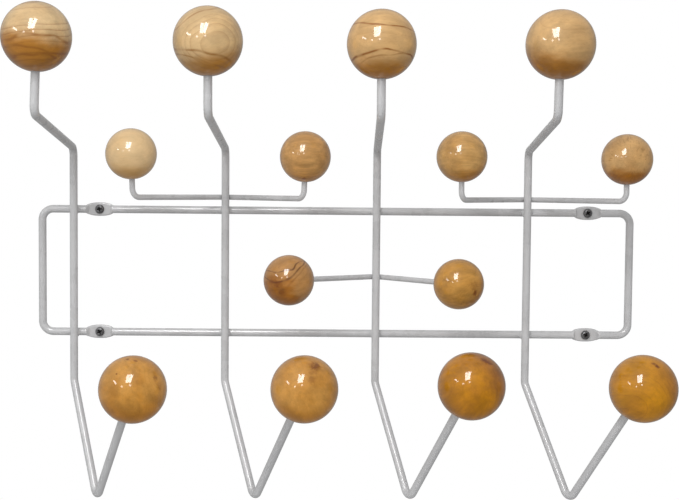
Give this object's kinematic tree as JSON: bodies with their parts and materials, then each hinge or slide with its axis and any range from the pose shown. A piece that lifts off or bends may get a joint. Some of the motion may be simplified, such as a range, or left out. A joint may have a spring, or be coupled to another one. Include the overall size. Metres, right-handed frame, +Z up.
{
  "type": "wall-mounted coat rack",
  "caption": "Wall rack of painted steel wire: a flat loop carries bent hooks and forked arms, and every wire end has a lacquered wooden ball.",
  "frame": {"origin": "on the wall plane, midway between the four screws", "axes": "+X to the viewer's right along the rack, +Z up, +Y into the wall"},
  "size_m": [0.4986, 0.1922, 0.3773],
  "materials": {
    "painted_wire": "satin-gloss light grey baked paint",
    "screw_steel": "dark zinc-plated steel with a cross recess",
    "wood_pale": "pale maple under clear gloss lacquer",
    "wood_honey": "honey maple under clear gloss lacquer",
    "wood_amber": "amber maple with small knots under clear gloss lacquer"
  },
  "bodies": {
    "root": {"wall_frame": "painted_wire", "wall_screw_top_left": "screw_steel", "wall_screw_top_right": "screw_steel", "wall_screw_bottom_left": "screw_steel", "wall_screw_bottom_right": "screw_steel", "hook_wire_1": "painted_wire", "top_ball_1": "wood_pale", "bottom_ball_1": "wood_amber", "hook_wire_2": "painted_wire", "top_ball_2": "wood_pale", "bottom_ball_2": "wood_amber", "hook_wire_3": "painted_wire", "top_ball_3": "wood_pale", "bottom_ball_3": "wood_amber", "hook_wire_4": "painted_wire", "top_ball_4": "wood_pale", "bottom_ball_4": "wood_amber", "upper_arm_left": "painted_wire", "upper_arm_left_ball_left": "wood_pale", "upper_arm_left_ball_right": "wood_honey", "upper_arm_right": "painted_wire", "upper_arm_right_ball_left": "wood_honey", "upper_arm_right_ball_right": "wood_honey", "middle_arm": "painted_wire", "middle_arm_ball_left": "wood_amber", "middle_arm_ball_right": "wood_amber"}
  },
  "joints": []
}
